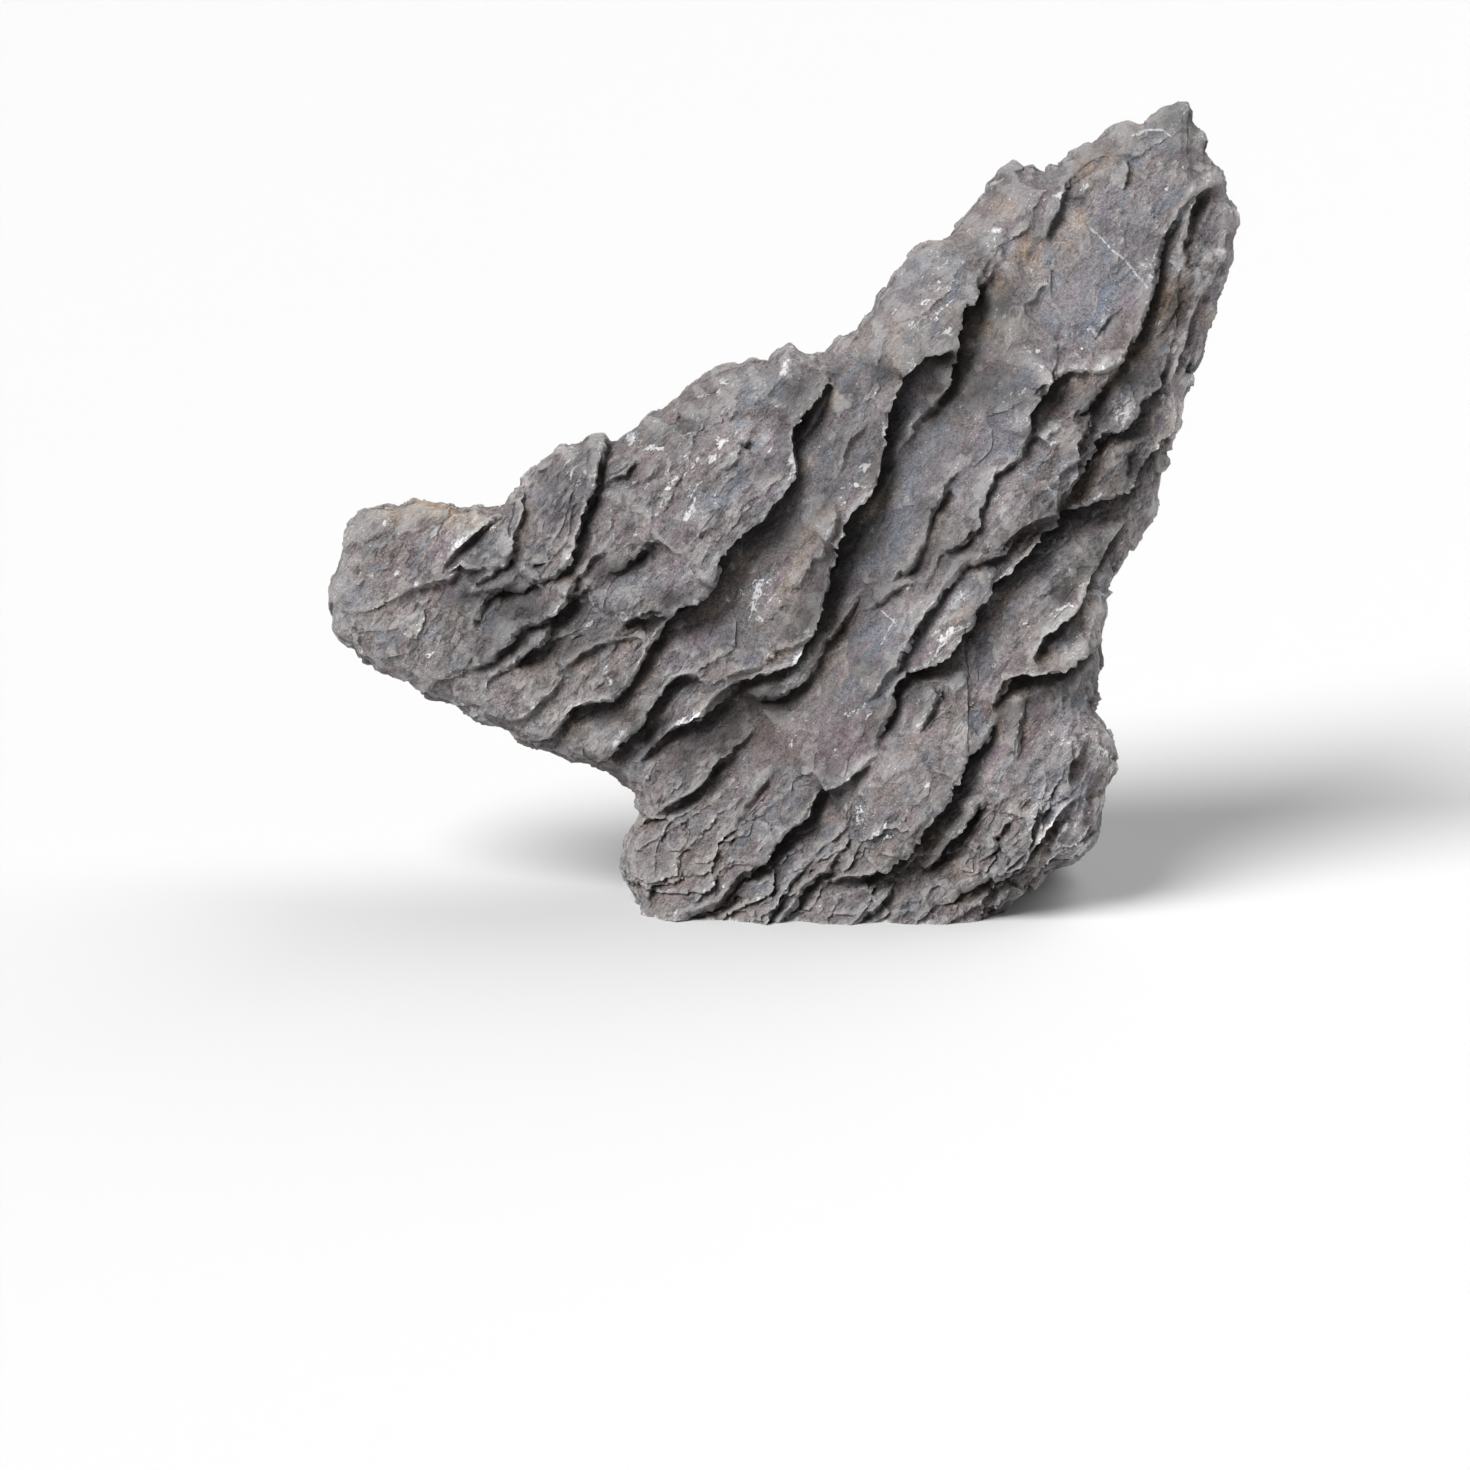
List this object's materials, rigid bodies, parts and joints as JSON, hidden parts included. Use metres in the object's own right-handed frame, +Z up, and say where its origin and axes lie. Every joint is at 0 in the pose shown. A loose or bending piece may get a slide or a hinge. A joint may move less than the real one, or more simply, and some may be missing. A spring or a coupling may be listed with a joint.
{
  "type": "dragon stone",
  "caption": "Upright grey aquascaping stone of overlapping slanted ledges, with a pointed crown, a low side wing and a flat broken foot it stands on.",
  "frame": {"origin": "centre of the bounding box on the plane the foot stands on", "axes": "+Z up, +X along the width from the low wing to the pointed crown, -Y towards the side with the ledged face"},
  "size_m": [0.3001, 0.1218, 0.2585],
  "materials": {
    "stone": "dry matt layered rock with pale veins and flecks"
  },
  "bodies": {
    "root": {"dragon_stone": "stone"}
  },
  "joints": []
}
